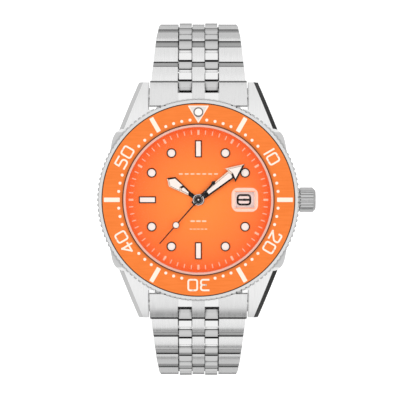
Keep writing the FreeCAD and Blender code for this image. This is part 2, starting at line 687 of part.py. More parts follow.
def make_crown():
    height = stem_height.value
    outline = toothed_corners(24, 2.3, 2.52, 0.72, 0.4)
    knob = plan_prism(outline, 0, 3.0)
    face = joined([knob, disc(2.2, 0, 3.3)])
    edges = spun([(0, -1), (2.2, 0.0), (2.6, 0.35), (2.6, 2.7), (2.2, 3.0), (1.9, 3.3), (0, 3.3)])
    knob = face.common(edges).cut(disc(1.58, -1, 1.2))
    knob = knob.cut(disc(0.35, -1, 2.2))
    turn = FreeCAD.Placement(Vector(20.35, 0, height), FreeCAD.Rotation(Vector(0, 1, 0), 90))
    solid("crown", knob, turn)
    stem = Part.makeCylinder(0.35, 15.6, Vector(6.9, 0, height), Vector(1, 0, 0))
    solid("winding_stem", stem)
    clutch = plan_prism(toothed_corners(12, 0.72, 0.95, 0.7, 0.3), 0, 1.2).cut(disc(0.38, -1, 3))
    place = FreeCAD.Placement(Vector(8.2, 0, height), FreeCAD.Rotation(Vector(0, 1, 0), 90))
    solid("clutch_wheel", clutch, place)


# ---------------------------------------------------------------- bracelet
angles_12 = (24, 24, 53, 70, 94, 106, 118, 134)
angles_6 = (33, 35, 49, 65, 92, 106, 118, 134)


def half_width(steps):
    """Half the bracelet's width after so many links: a quick taper, then nearly parallel."""
    return 9.65 - 0.42 * min(steps, 4) - 0.02 * max(steps - 4, 0)


def chain(angles):
    """The first hinge of each link, and the far hinge of the last one."""
    y, z = hinge_reach.value, hinge_height.value
    points = [(y, z)]
    for angle in angles:
        y += pitch.value * math.cos(math.radians(angle))
        z -= pitch.value * math.sin(math.radians(angle))
        points.append((y, z))
    return points


def link_shape(order, bar_half):
    """One link lying along +y from its first hinge; its far hinge carries the pin."""
    length, top, bottom = pitch.value, link_top.value, -link_bottom.value
    start, end = half_width(order), half_width(order + 1)
    near, far, rise = 0.5, length - 0.7, link_crown.value
    half_columns = ((-centre_half.value, centre_half.value), (side_inner.value, 10), (-10, -side_inner.value))
    walls = []
    for left, right in half_columns:
        under = [(far, bottom), (near, bottom)]
        block = crowned_prism((near, top - rise), (far, top - rise), rise, under, left, right)
        wall = joined([block, cross_rod(barrel_radius.value, length, 0, left, right)])
        walls.append(wall.cut(cross_rod(barrel_radius.value + 0.12, 0, 0, left - 1, right + 1)))
    for side in (1, -1):
        left, right = sorted((side * narrow_inner.value, side * narrow_outer.value))
        face_end, band_end, band_top = 2.45, length - 1.2, 0.9
        face = [(0, bottom), (face_end, bottom), (face_end, top - 0.13), (face_end - 0.1, top - 0.03),
                (0, top - 0.03)]
        band = [(0, bottom), (band_end, bottom), (band_end, band_top), (0, band_top)]
        wall = joined([side_prism(face, left, right), side_prism(band, left, right),
                       cross_rod(knuckle_radius.value, 0, 0, left, right)])
        walls.append(wall.cut(cross_rod(knuckle_radius.value + 0.1, length, 0, left - 1, right + 1)))
    core = side_prism([(1.6, -0.85), (2.75, -0.85), (2.75, 0.35), (1.6, 0.35)], -10, 10)
    link = joined(walls + [core])
    spare = 2.0
    slope = (end - start) / length
    wide, slim = start - slope * spare, end + slope * spare
    beyond = length + spare
    sides = plan_prism([(wide, -spare), (slim, beyond), (-slim, beyond), (-wide, -spare)], -4, 4)
    link = link.common(sides).cut([cross_rod(free_bore.value, 0, 0, -11, 11),
                                   cross_rod(pin_radius.value, length, 0, -11, 11)])
    pin = cross_rod(pin_radius.value, length, 0, -bar_half, bar_half)
    return [link, pin]


def make_bracelet():
    for side, angles in (("12", angles_12), ("6", angles_6)):
        for order, ((y, z), angle) in enumerate(zip(chain(angles), angles)):
            tilt = FreeCAD.Rotation(Vector(1, 0, 0), -angle)
            if side == "6":
                tilt = FreeCAD.Rotation(Vector(0, 0, 1), 180).multiply(tilt)
                y = -y
            place = FreeCAD.Placement(Vector(0, y, z), tilt)
            solid(f"link_{side}_{order + 1}", link_shape(order, half_width(order + 1) - 0.15), place)


# ---------------------------------------------------------------- folding clasp
def clasp_frame():
    """Half the distance between the last hinges, their midpoint, and the chord's tilt."""
    far, near = chain(angles_12)[-1], chain(angles_6)[-1]
    dy, dz = far[0] + near[0], far[1] - near[1]
    middle = ((far[0] - near[0]) / 2, (far[1] + near[1]) / 2)
    return math.hypot(dy, dz) / 2, middle, math.degrees(math.atan2(dz, dy))


clasp_half, clasp_middle, clasp_tilt = clasp_frame()
arc_radius = (clasp_half ** 2 + clasp_sagitta.value ** 2) / (2 * clasp_sagitta.value)
arc_lift = arc_radius - clasp_sagitta.value
end_angle = math.degrees(math.asin(clasp_half / arc_radius))
hinge_angle = end_angle - 5.4
cheek_inner, cheek_outer = 8.15, 9.05


def on_arc(degrees, radius):
    """A point of the clasp's own side view; angles run from the middle toward twelve."""
    angle = math.radians(degrees)
    return radius * math.sin(angle), arc_lift - radius * math.cos(angle)


def shell(inner, outer, first, last, left, right):
    """A curved plate of the clasp between two radii and two angles."""
    def rim(radius, start, stop):
        points = [Vector(left, *on_arc(a, radius)) for a in (start, (start + stop) / 2, stop)]
        return Part.Arc(*points).toShape()

    def side(degrees, start, stop):
        ends = [Vector(left, *on_arc(degrees, radius)) for radius in (start, stop)]
        return Part.LineSegment(*ends).toShape()

    wire = Part.Wire([rim(inner, first, last), side(last, inner, outer), rim(outer, last, first),
                      side(first, outer, inner)])
    return Part.Face(wire).extrude(Vector(right - left, 0, 0))


def rod_on_arc(rod_radius, degrees, radius, left, right):
    y, z = on_arc(degrees, radius)
    return cross_rod(rod_radius, y, z, left, right)


def both_sides(inner, outer):
    return ((inner, outer), (-outer, -inner))


def make_clasp():
    middle = Vector(0, clasp_middle[0], clasp_middle[1])
    place = FreeCAD.Placement(middle, FreeCAD.Rotation(Vector(1, 0, 0), clasp_tilt))
    radius, near, far = arc_radius, -hinge_angle, hinge_angle
    roof_end = near - 2.8
    roof = shell(radius + 0.4, radius + 1.5, roof_end, far - 1.6, -cheek_outer, cheek_outer)
    cheeks = []
    for left, right in both_sides(cheek_inner, cheek_outer):
        cheeks.append(shell(radius - 1.2, radius + 1.5, near - 3.6, far - 1.0, left, right))
        cheeks.append(rod_on_arc(1.5, far, radius, left, right))
        cheeks.append(rod_on_arc(1.5, -end_angle, radius, left, right))
        cheeks.append(shell(radius - 1.2, radius + 1.2, -end_angle, near - 3.5, left, right))
        cheeks.append(shell(radius - 1.2, radius + 1.2, far - 1.1, far, left, right))
    lock_at = -20.0
    holes = [rod_on_arc(0.5, lock_at, radius + 0.2, -12, 12),
             rod_on_arc(free_bore.value, far, radius, -12, 12),
             rod_on_arc(free_bore.value, -end_angle, radius, -12, 12),
             rod_on_arc(1.15, far, radius, -cheek_inner, cheek_inner)]
    cover = joined([roof] + cheeks).cut(holes)
    cover_pin = rod_on_arc(free_bore.value, far, radius, -cheek_outer, cheek_outer)
    solid("clasp_cover", [cover, cover_pin], place)

    outer_blade = [shell(radius - 0.9, radius + 0.15, near + 1.9, far, -6.0, 6.0),
                   rod_on_arc(1.0, far, radius, -8.0, 8.0)]
    for left, right in both_sides(4.45, 6.0):
        outer_blade.append(shell(radius - 0.9, radius + 0.15, near, near + 2.0, left, right))
        outer_blade.append(rod_on_arc(1.0, near, radius - 1.0, left, right))
    bores = [rod_on_arc(0.6, far, radius, -9, 9), rod_on_arc(0.55, near, radius - 1.0, -9, 9)]
    slot = shell(radius - 2, radius + 1, near + 6, far - 6, -3.6, 3.6)
    solid("clasp_blade_outer", joined(outer_blade).cut(bores + [slot]), place)

    inner_blade = [shell(radius - 2.2, radius - 1.15, near, end_angle - 2.6, -4.2, 4.2),
                   rod_on_arc(1.0, near, radius - 1.0, -4.2, 4.2)]
    for left, right in both_sides(narrow_inner.value, narrow_outer.value):
        inner_blade.append(rod_on_arc(knuckle_radius.value, end_angle, radius, left, right))
        inner_blade.append(shell(radius - 2.2, radius - 0.3, end_angle - 3.2, end_angle - 0.9, left, right))
    bores = [rod_on_arc(free_bore.value, end_angle, radius, -9, 9),
             rod_on_arc(0.5, near, radius - 1.0, -9, 9),
             rod_on_arc(knuckle_radius.value + 0.2, end_angle, radius, -1.3, 1.3)]
    blade_pin = rod_on_arc(0.5, near, radius - 1.0, -5.9, 5.9)
    solid("clasp_blade_inner", [joined(inner_blade).cut(bores), blade_pin], place)

    lock = [shell(radius + 1.7, radius + 2.4, near + 1.0, lock_at - 1.2, -9.7, 9.7)]
    for left, right in both_sides(cheek_outer + 0.1, 9.7):
        lock.append(rod_on_arc(1.2, lock_at, radius + 0.2, left, right))
        lock.append(shell(radius - 0.4, radius + 2.4, lock_at - 4.0, lock_at - 0.6, left, right))
    for left, right in both_sides(cheek_inner + 0.1, cheek_outer + 0.3):
        lock.append(rod_on_arc(0.45, lock_at, radius + 0.2, left, right))
    solid("safety_lock", joined(lock), place)


# ---------------------------------------------------------------- build, test and write
make_mid_case()
make_case_trim()
make_end_link("end_link_12", 0)
make_end_link("end_link_6", 180)
make_spring_bars()
make_bezel()
make_dial()
make_hour_markers()
make_hands()
make_plates()
make_train()
make_rotor()
make_crown()
make_bracelet()
make_clasp()
doc.recompute()

for item in doc.Objects:
    if "Invalid" in item.State or "Error" in item.State:
        raise SystemExit(f"{item.Label}: {item.State}")
os.makedirs("parts", exist_ok=True)
for piece in pieces:
    if piece.Shape.isNull() or not piece.Shape.isValid():
        raise SystemExit(f"{piece.Label}: shape is not valid")
    piece.Shape.exportStep(f"parts/{piece.Label}.step")
    print(f"{piece.Label}: {len(piece.Shape.Solids)} solids, {piece.Shape.Volume:.2f} mm3")
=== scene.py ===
"""Looks of the dive watch: materials, marks, lume, dates, studio and camera. Metres, in the CAD's frame."""

import json
import math

import bmesh
import bpy
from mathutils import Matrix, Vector


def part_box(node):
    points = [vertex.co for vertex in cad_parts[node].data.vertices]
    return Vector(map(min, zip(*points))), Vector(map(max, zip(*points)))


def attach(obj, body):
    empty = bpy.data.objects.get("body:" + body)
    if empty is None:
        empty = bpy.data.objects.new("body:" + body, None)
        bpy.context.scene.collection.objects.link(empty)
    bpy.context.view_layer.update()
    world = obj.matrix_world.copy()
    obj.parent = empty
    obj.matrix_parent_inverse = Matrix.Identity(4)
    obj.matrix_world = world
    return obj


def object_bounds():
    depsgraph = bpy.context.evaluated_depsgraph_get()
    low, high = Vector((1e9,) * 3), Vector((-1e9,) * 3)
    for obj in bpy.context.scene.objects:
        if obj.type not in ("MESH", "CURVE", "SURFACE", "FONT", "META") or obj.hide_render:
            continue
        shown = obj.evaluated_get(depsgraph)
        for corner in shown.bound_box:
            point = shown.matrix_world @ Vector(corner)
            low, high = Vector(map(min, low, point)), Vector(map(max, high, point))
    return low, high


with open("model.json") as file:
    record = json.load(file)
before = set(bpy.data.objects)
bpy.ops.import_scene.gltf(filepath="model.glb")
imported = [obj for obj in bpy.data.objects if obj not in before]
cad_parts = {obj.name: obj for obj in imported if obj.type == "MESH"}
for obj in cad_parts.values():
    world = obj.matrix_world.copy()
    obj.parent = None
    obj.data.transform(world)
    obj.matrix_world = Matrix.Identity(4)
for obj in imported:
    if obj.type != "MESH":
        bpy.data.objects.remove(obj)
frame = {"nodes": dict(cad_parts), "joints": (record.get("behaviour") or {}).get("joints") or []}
nodes = frame["nodes"]
cad_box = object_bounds()

MM = 0.001


# ---------------------------------------------------------------- places in millimetres, read from the frame or
# matching the CAD's own sizes, and the hands' angles in degrees clockwise from twelve
def top_of(node):
    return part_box(node)[1].z / MM


DIAL_TOP = top_of("dial")
INSERT_TOP = top_of("bezel_insert")
INSERT_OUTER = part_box("bezel_insert")[1].x / MM
INSERT_INNER = 15.2
SHOULDER_TOP = 7.6
SHOULDER_HALF_LENGTH = 13.6
NARROW_MIDDLE = 2.68
NARROW_HALF_WIDTH = 1.36
WIDE_BARREL_REACH = 1.12
NARROW_BARREL_REACH = 1.36
SEAM_REACH = 1.46
CRYSTAL_BEVEL_START = 14.56
DATE_CENTRE = 9.25
PEARL_AT = 17.5
NUMERAL_AT = 17.03
SECOND_LUME_AT = 6.8
HUB_RADIUS = 1.05
INSERT_FALL = 0.8
INSERT_SLOPE = INSERT_FALL / (INSERT_OUTER - INSERT_INNER)
MARKER_TOP = top_of("hour_markers")
MARKER_RADIUS = 10.85
DATE_TOP = top_of("date_ring")
HOUR_ANGLE = 304.4
MINUTE_ANGLE = 52.4
SECOND_ANGLE = 221.5


# ---------------------------------------------------------------- node helpers
class Shader:
    """The node tree of a material or a world, with short names for the node calls used most."""

    def __init__(self, owner, output="ShaderNodeOutputMaterial"):
        self.owner = owner
        owner.use_nodes = True
        self.tree = owner.node_tree
        self.tree.nodes.clear()
        self.output = self.node(output)

    def node(self, kind, **settings):
        made = self.tree.nodes.new(kind)
        for key, setting in settings.items():
            setattr(made, key, setting)
        return made

    def put(self, socket, source):
        """Set a socket to a plain value, or link another socket to it."""
        if isinstance(source, bpy.types.NodeSocket):
            self.tree.links.new(source, socket)
        else:
            socket.default_value = source

    def math(self, operation, *inputs):
        made = self.node("ShaderNodeMath", operation=operation)
        for socket, source in zip(made.inputs, inputs):
            self.put(socket, source)
        return made.outputs[0]

    def mix(self, factor, low, high):
        """A colour mix."""
        made = self.node("ShaderNodeMix", data_type="RGBA")
        self.put(made.inputs["Factor"], factor)
        self.put(made.inputs[6], low)
        self.put(made.inputs[7], high)
        return made.outputs[2]

    def blend(self, factor, low, high):
        """A number mix."""
        made = self.node("ShaderNodeMix", data_type="FLOAT")
        self.put(made.inputs["Factor"], factor)
        self.put(made.inputs[2], low)
        self.put(made.inputs[3], high)
        return made.outputs[0]

    def ramp(self, value, start, gain):
        """A number that rises from nought at the start and is held between nought and one."""
        made = self.math("MULTIPLY", self.math("SUBTRACT", value, start), gain)
        made.node.use_clamp = True
        return made

    def combine(self, factor, low, high):
        """A mix of two surfaces."""
        made = self.node("ShaderNodeMixShader")
        self.put(made.inputs[0], factor)
        self.put(made.inputs[1], low)
        self.put(made.inputs[2], high)
        return made.outputs[0]

    def sideways_normal(self):
        """How far the surface faces right, from minus one to one."""
        split = self.node("ShaderNodeSeparateXYZ")
        self.put(split.inputs[0], self.node("ShaderNodeNewGeometry").outputs["Normal"])
        return split.outputs[0]

    def light_path(self, kind):
        return self.node("ShaderNodeLightPath").outputs[kind]

    def position(self):
        """The rest position x, y, z in millimetres."""
        place = self.node("ShaderNodeTexCoord").outputs["Object"]
        scaled = self.node("ShaderNodeVectorMath", operation="SCALE")
        self.put(scaled.inputs[0], place)
        scaled.inputs["Scale"].default_value = 1 / MM
        split = self.node("ShaderNodeSeparateXYZ")
        self.put(split.inputs[0], scaled.outputs[0])
        return split.outputs[0], split.outputs[1], split.outputs[2]

    def noise(self, x, y, z, scale=1.0, detail=2.0):
        joined = self.node("ShaderNodeCombineXYZ")
        for socket, source in zip(joined.inputs, (x, y, z)):
            self.put(socket, source)
        made = self.node("ShaderNodeTexNoise")
        self.put(made.inputs["Vector"], joined.outputs[0])
        made.inputs["Scale"].default_value = scale
        made.inputs["Detail"].default_value = detail
        return made.outputs["Fac"]

    def radius(self, x, y):
        return self.math("SQRT", self.math("ADD", self.math("MULTIPLY", x, x), self.math("MULTIPLY", y, y)))

    def bump(self, height, strength, depth=0.02):
        made = self.node("ShaderNodeBump")
        self.put(made.inputs["Height"], height)
        self.put(made.inputs["Strength"], strength)
        made.inputs["Distance"].default_value = depth * MM
        return made.outputs[0]

    def principled(self, color, metallic, roughness, normal=None, **more):
        made = self.node("ShaderNodeBsdfPrincipled")
        self.put(made.inputs["Base Color"], color)
        made.inputs["Metallic"].default_value = metallic
        self.put(made.inputs["Roughness"], roughness)
        if normal is not None:
            self.put(made.inputs["Normal"], normal)
        for key, value in more.items():
            made.inputs[key.replace("_", " ")].default_value = value
        return made.outputs[0]

    def finish(self, surface):
        self.put(self.output.inputs["Surface"], surface)
        return self.owner

    def crevice(self, reach=0.5, floor=0.25):
        """Painted shade: a factor that falls from one to the floor in narrow gaps, from ambient occlusion."""
        made = self.node("ShaderNodeAmbientOcclusion", samples=8)
        made.inputs["Distance"].default_value = reach * MM
        return self.blend(self.math("POWER", made.outputs["AO"], 1.6), floor, 1.0)

    def shaded(self, color, factor):
        return self.mix(factor, grey(0.0), color)


def new_material(name):
    return Shader(bpy.data.materials.new(name))


def grey(level):
    return (level, level, level, 1)


def assign(material, *names):
    for name in names:
        data = nodes[name].data
        data.materials.clear()
        data.materials.append(material)


# ---------------------------------------------------------------- steel
def brushed_along(shader, x, y, z):
    """Fine straight grain that runs lengthwise along the bracelet."""
    fine = shader.noise(shader.math("MULTIPLY", x, 9.0), shader.math("MULTIPLY", y, 0.35),
                        shader.math("MULTIPLY", z, 0.35), 1.0, 3.0)
    broad = shader.noise(shader.math("MULTIPLY", x, 2.0), shader.math("MULTIPLY", y, 0.1),
                         shader.math("MULTIPLY", z, 0.1), 1.0, 1.0)
    return fine, broad


def hinge_distance(shader, y, z):
    """Distance in millimetres from the nearest link hinge."""
    nearest = 99.0
    for joint in frame["joints"]:
        if joint["name"].startswith("link_"):
            across, up = joint["pos_m"][1] / MM, joint["pos_m"][2] / MM
            gap = shader.radius(shader.math("SUBTRACT", y, across), shader.math("SUBTRACT", z, up))
            nearest = shader.math("MINIMUM", gap, nearest)
    return nearest


def link_steel():
    """Brushed wide columns, polished narrow columns, painted shade on the barrels, painted shadow lines along
    the seams at the hinges, and painted shade in the gaps.
    """
    shader = new_material("link_steel")
    x, y, z = shader.position()
    polished = shader.math("COMPARE", shader.math("ABSOLUTE", x), NARROW_MIDDLE, NARROW_HALF_WIDTH)
    fine, broad = brushed_along(shader, x, y, z)
    color = shader.mix(polished, shader.mix(fine, grey(0.76), grey(0.92)), grey(0.96))
    rough = shader.blend(polished, shader.blend(broad, 0.18, 0.28), 0.08)
    strength = shader.blend(polished, 0.35, 0.02)
    reach = hinge_distance(shader, y, z)
    # painted shade: the hinge barrels are greyed where they show between the links
    barrel_shade = shader.math("LESS_THAN", reach, shader.blend(polished, WIDE_BARREL_REACH, NARROW_BARREL_REACH))
    round_face = shader.math("LESS_THAN", shader.math("ABSOLUTE", shader.sideways_normal()), 0.7)
    barrel_shade = shader.math("MULTIPLY", barrel_shade, round_face)
    color = shader.mix(barrel_shade, color, shader.mix(polished, grey(0.4), grey(0.62)))
    # painted shadow: a near-black line along the seams of the narrow columns
    seam_shadow = shader.math("MULTIPLY", polished, shader.math("COMPARE", reach, SEAM_REACH, 0.1))
    color = shader.mix(seam_shadow, color, grey(0.02))
    # painted shade darkens the links in their gaps
    color = shader.shaded(color, shader.crevice(0.7, 0.12))
    return shader.finish(shader.principled(color, 1.0, rough, shader.bump(fine, strength)))


def case_steel():
    """Brushed on faces that look up, polished on the flanks and bevels, with painted shade on the bevels on the
    right, on the shoulder beside the bezel and in gaps.
    """
    shader = new_material("case_steel")
    x, y, z = shader.position()
    right = shader.sideways_normal()
    polished = shader.math("GREATER_THAN", shader.math("ABSOLUTE", right), 0.25)
    fine, broad = brushed_along(shader, x, y, z)
    # painted shade: the polished bevels that face right are near black, while those facing left stay pale
    right_bevel_shade = shader.math("COMPARE", right, 0.57, 0.3)
    flank_and_shade = shader.mix(right_bevel_shade, grey(0.88), grey(0.06))
    color = shader.mix(polished, shader.mix(fine, grey(0.8), grey(0.95)), flank_and_shade)
    # painted shade: the case top beside the bezel is greyed
    shoulder_shade = shader.math("GREATER_THAN", z, SHOULDER_TOP - 1.0)
    beside = shader.math("LESS_THAN", shader.math("ABSOLUTE", y), SHOULDER_HALF_LENGTH)
    color = shader.mix(shader.math("MULTIPLY", shoulder_shade, beside), color, grey(0.62))
    # painted shade darkens the case in its gaps
    color = shader.shaded(color, shader.crevice(0.5, 0.2))
    rough = shader.blend(polished, shader.blend(broad, 0.24, 0.36), 0.12)
    strength = shader.blend(polished, 0.3, 0.02)
    return shader.finish(shader.principled(color, 1.0, rough, shader.bump(fine, strength)))


def polished_steel(name, level=0.82, rough=0.12):
    """Bright metal with faint handling marks."""
    shader = new_material(name)
    x, y, z = shader.position()
    marks = shader.noise(x, y, z, 1.4, 4.0)
    color = shader.mix(marks, grey(level * 0.92), grey(level))
    return shader.finish(shader.principled(color, 1.0, shader.blend(marks, rough * 0.8, rough * 1.3),
                                           shader.bump(marks, 0.05)))


def brushed_steel(name, level=0.75, across=False):
    """Plain lengthwise or crosswise brushing for the clasp."""
    shader = new_material(name)
    x, y, z = shader.position()
    lengthwise, sideways = (0.3, 9.0) if across else (9.0, 0.3)
    fine = shader.noise(shader.math("MULTIPLY", x, lengthwise), shader.math("MULTIPLY", y, sideways),
                        shader.math("MULTIPLY", z, sideways), 1.0, 3.0)
    color = shader.mix(fine, grey(level * 0.8), grey(level * 1.08))
    rough = shader.blend(fine, 0.24, 0.38)
    return shader.finish(shader.principled(color, 1.0, rough, shader.bump(fine, 0.3)))


def circular_metal(name, dark, light, rough_low, rough_high, metallic=1.0, **more):
    """Metal turned on a lathe: fine rings around the watch's axis."""
    shader = new_material(name)
    x, y, z = shader.position()
    rings = shader.noise(shader.math("MULTIPLY", shader.radius(x, y), 9.0), 0.0, 0.0, 1.0, 3.0)
    drift = shader.noise(x, y, z, 0.25, 1.0)
    color = shader.mix(shader.blend(0.35, rings, drift), dark, light)
    rough = shader.blend(rings, rough_low, rough_high)
    return shader.finish(shader.principled(color, metallic, rough, shader.bump(rings, 0.25), **more))


# ---------------------------------------------------------------- dial, insert and glass
def dial_lacquer():
    """Orange lacquer with painted shade that makes it darker and redder toward the rim, and faint sunray grain.
    """
    shader = new_material("dial_lacquer")
    x, y, z = shader.position()
    radius = shader.radius(x, y)
    ray = shader.noise(shader.math("MULTIPLY", shader.math("ARCTAN2", y, x), 26.0), 0.0, 0.0, 1.0, 2.0)
    # painted shade: the lacquer grows darker and redder toward the rim
    rim_shade = shader.ramp(radius, 3.0, 1 / 11.5)
    base = shader.mix(rim_shade, (1.0, 0.235, 0.035, 1), (1.0, 0.15, 0.025, 1))
    color = shader.mix(shader.math("MULTIPLY", ray, 0.12), base, (1.0, 0.32, 0.08, 1))
    rough = shader.blend(ray, 0.4, 0.5)
    return shader.finish(shader.principled(color, 0.0, rough, None, Specular_IOR_Level=0.2))


def clear_crystal():
    """Sapphire: clear on top, with a painted pale reflection of the orange where its bevel catches the light.
    """
    shader = new_material("clear_crystal")
    x, y, z = shader.position()
    edge = shader.math("GREATER_THAN", shader.radius(x, y), CRYSTAL_BEVEL_START)
    fresnel = shader.node("ShaderNodeFresnel")
    fresnel.inputs["IOR"].default_value = 1.12
    speck = shader.noise(x, y, z, 3.0, 2.0)
    clear = shader.node("ShaderNodeBsdfTransparent")
    gloss = shader.node("ShaderNodeBsdfGlossy")
    shader.put(gloss.inputs["Roughness"], shader.blend(speck, 0.01, 0.03))
    glass = shader.combine(fresnel.outputs[0], clear.outputs[0], gloss.outputs[0])
    # painted reflection: a pale pinkish orange laid over the bevel
    pale = shader.principled((0.93, 0.6, 0.5, 1), 0.0, 0.2)
    return shader.finish(shader.combine(shader.math("MULTIPLY", edge, 0.62), glass, pale))


def lens_glass():
    """A real lens to the eye, but clear to the studio light, so that what lies under it stays bright; its rim
    carries a painted pale reflection.
    """
    shader = new_material("lens_glass")
    x, y, z = shader.position()
    speck = shader.noise(x, y, z, 3.0, 2.0)
    lens = shader.node("ShaderNodeBsdfRefraction")
    lens.inputs["IOR"].default_value = 1.5
    lens.inputs["Roughness"].default_value = 0.0
    across = shader.math("SUBTRACT", shader.math("ABSOLUTE", shader.math("SUBTRACT", x, DATE_CENTRE)), 0.25)
    rim = shader.ramp(shader.math("MAXIMUM", across, shader.math("ABSOLUTE", y)), 1.5, 2.4)
    # painted reflection: a pale pinkish tone over the lens's rim
    rim_reflection = shader.principled((1.0, 0.62, 0.5, 1), 0.0, shader.blend(speck, 0.1, 0.16))
    clear = shader.node("ShaderNodeBsdfTransparent")
    slanted = shader.ramp(shader.node("ShaderNodeLayerWeight").outputs["Facing"], 0.45, 4.0)
    seen = shader.combine(slanted, lens.outputs[0], clear.outputs[0])
    body = shader.combine(shader.math("MULTIPLY", rim, 0.55), seen, rim_reflection)
    unseen = shader.math("MAXIMUM", shader.light_path("Is Shadow Ray"), shader.light_path("Is Diffuse Ray"))
    return shader.finish(shader.combine(unseen, body, clear.outputs[0]))


def insert_metal():
    """Orange metal brushed in rings, with painted shade at its inner and outer edges."""
    shader = new_material("insert_orange")
    x, y, z = shader.position()
    radius = shader.radius(x, y)
    rings = shader.noise(shader.math("MULTIPLY", radius, 9.0), 0.0, 0.0, 1.0, 3.0)
    drift = shader.noise(x, y, z, 0.3, 2.0)
    stretched = shader.math("MULTIPLY", x, 0.25)
    streaks = shader.noise(stretched, shader.math("MULTIPLY", y, 3.0), 0.0, 1.0, 3.0)
    tone = shader.blend(0.5, shader.blend(0.4, rings, drift), streaks)
    base = shader.mix(tone, (0.7, 0.13, 0.004, 1), (0.97, 0.26, 0.05, 1))
    # painted shade on the inner edge
    inner = shader.ramp(radius, 15.75, -2.0)
    base = shader.mix(shader.math("MULTIPLY", inner, 0.6), base, (0.42, 0.09, 0.01, 1))
    # painted shade: a dark line along the outer edge
    outer = shader.math("GREATER_THAN", radius, INSERT_OUTER - 0.22)
    color = shader.mix(outer, base, (0.05, 0.02, 0.01, 1))
    rough = shader.blend(rings, 0.3, 0.46)
    return shader.finish(shader.principled(color, 0.5, rough, shader.bump(rings, 0.25)))


def paint(name, color, rough=0.5, level=0.06, **more):
    """Printed ink, enamel or lume with a faint grain."""
    shader = new_material(name)
    x, y, z = shader.position()
    grain = shader.noise(x, y, z, 6.0, 3.0)
    darker = tuple(channel * (1 - level) for channel in color[:3]) + (1,)
    return shader.finish(shader.principled(shader.mix(grain, darker, color), 0.0,
                                           shader.blend(grain, rough * 0.9, rough * 1.1),
                                           shader.bump(grain, 0.08), **more))


def hand_metal(name, degrees):
    """Polished metal with painted shade in black on the clockwise half of a hand, a painted pale highlight on
    the other half, and a grey ring at the hub.
    """
    shader = new_material(name)
    x, y, z = shader.position()
    turn = math.radians(degrees)
    side = shader.math("ADD", shader.math("MULTIPLY", x, math.cos(turn)),
                       shader.math("MULTIPLY", y, -math.sin(turn)))
    # painted light: the anticlockwise half is pale as a highlight, and the clockwise half is black as shade
    bright = shader.math("LESS_THAN", side, -0.05)
    near = shader.math("LESS_THAN", shader.radius(x, y), 2.3)
    bright = shader.math("MULTIPLY", bright, shader.math("SUBTRACT", 1.0, near))
    grain = shader.noise(x, y, z, 5.0, 2.0)
    color = shader.mix(bright, (0.012, 0.011, 0.011, 1), (0.8, 0.62, 0.5, 1))
    hub = shader.math("COMPARE", shader.radius(x, y), HUB_RADIUS, 0.09)
    color = shader.mix(hub, color, grey(0.6))
    rough = shader.blend(grain, 0.2, 0.3)
    return shader.finish(shader.principled(color, 0.6, rough, None, Specular_IOR_Level=0.2))


LUME_WHITE = paint("lume_white", (0.88, 0.81, 0.76, 1), 0.55)
PRINT_WHITE = paint("print_white", (1.0, 0.62, 0.42, 1), 0.5)
BEZEL_WHITE = paint("bezel_white", (0.92, 0.74, 0.62, 1), 0.45)
INK_BLACK = paint("ink_black", (0.015, 0.012, 0.012, 1), 0.4, Specular_IOR_Level=0.1)
RING_GREY = paint("ring_grey", (0.16, 0.14, 0.13, 1), 0.3)
BLACK_POLISH = paint("black_polish", (0.012, 0.012, 0.013, 1), 0.15, Specular_IOR_Level=0.2)
BEZEL_SILVER = paint("bezel_silver", (0.66, 0.62, 0.59, 1), 0.3, 0.12)
SILVER_RING = polished_steel("silver_ring", 0.8, 0.15)
HUB_RING = polished_steel("hub_ring_grey", 0.4, 0.2)


def dress_cad():
    assign(case_steel(), "mid_case")
    assign(link_steel(), "end_link_12", "end_link_6",
           *[f"link_{side}_{order}" for side in ("12", "6") for order in range(1, 9)])
    assign(polished_steel("bezel_steel", 0.78, 0.14), "bezel_ring")
    assign(polished_steel("crown_steel", 0.6, 0.16), "crown", "crown_tube")
    assign(polished_steel("bright_steel", 0.72, 0.2), "spring_bars", "winding_stem", "clutch_wheel",
           "bezel_click_spring", "movement_screws", "escape_wheel", "pallet_fork", "cannon_pinion")
    assign(paint("dark_frames", (0.01, 0.006, 0.005, 1), 0.35, Specular_IOR_Level=0.1), "hour_markers")
    assign(circular_metal("back_steel", grey(0.55), grey(0.8), 0.2, 0.34), "case_back")
    assign(insert_metal(), "bezel_insert")
    assign(circular_metal("flange_metal", (0.8, 0.3, 0.14, 1), (0.9, 0.42, 0.24, 1), 0.3, 0.4, 0.3),
           "rehaut_ring")
    assign(circular_metal("plate_rhodium", grey(0.5), grey(0.7), 0.25, 0.4), "main_plate", "train_bridge",
           "movement_holder", "rotor")
    assign(circular_metal("brass", (0.75, 0.5, 0.18, 1), (0.9, 0.68, 0.33, 1), 0.18, 0.3), "fourth_wheel",
           "centre_wheel", "hour_wheel", "minute_wheel", "third_wheel", "balance_wheel", "mainspring_barrel")
    assign(paint("gasket_rubber", (0.12, 0.05, 0.03, 1), 0.6), "case_back_gasket", "crystal_gasket")
    assign(paint("date_enamel", (0.88, 0.74, 0.7, 1), 0.4), "date_ring")
    assign(dial_lacquer(), "dial")
    assign(clear_crystal(), "crystal")
    assign(lens_glass(), "date_magnifier")
    assign(hand_metal("hour_hand_metal", HOUR_ANGLE), "hour_hand")
    assign(hand_metal("minute_hand_metal", MINUTE_ANGLE), "minute_hand")
    assign(BLACK_POLISH, "second_hand")
    assign(brushed_steel("clasp_brushed", 0.74), "clasp_cover", "safety_lock")
    assign(brushed_steel("blade_brushed", 0.68, True), "clasp_blade_outer", "clasp_blade_inner")


# ---------------------------------------------------------------- flat marks
def clock(radius, degrees):
    turn = math.radians(degrees)
    return radius * math.sin(turn), radius * math.cos(turn)


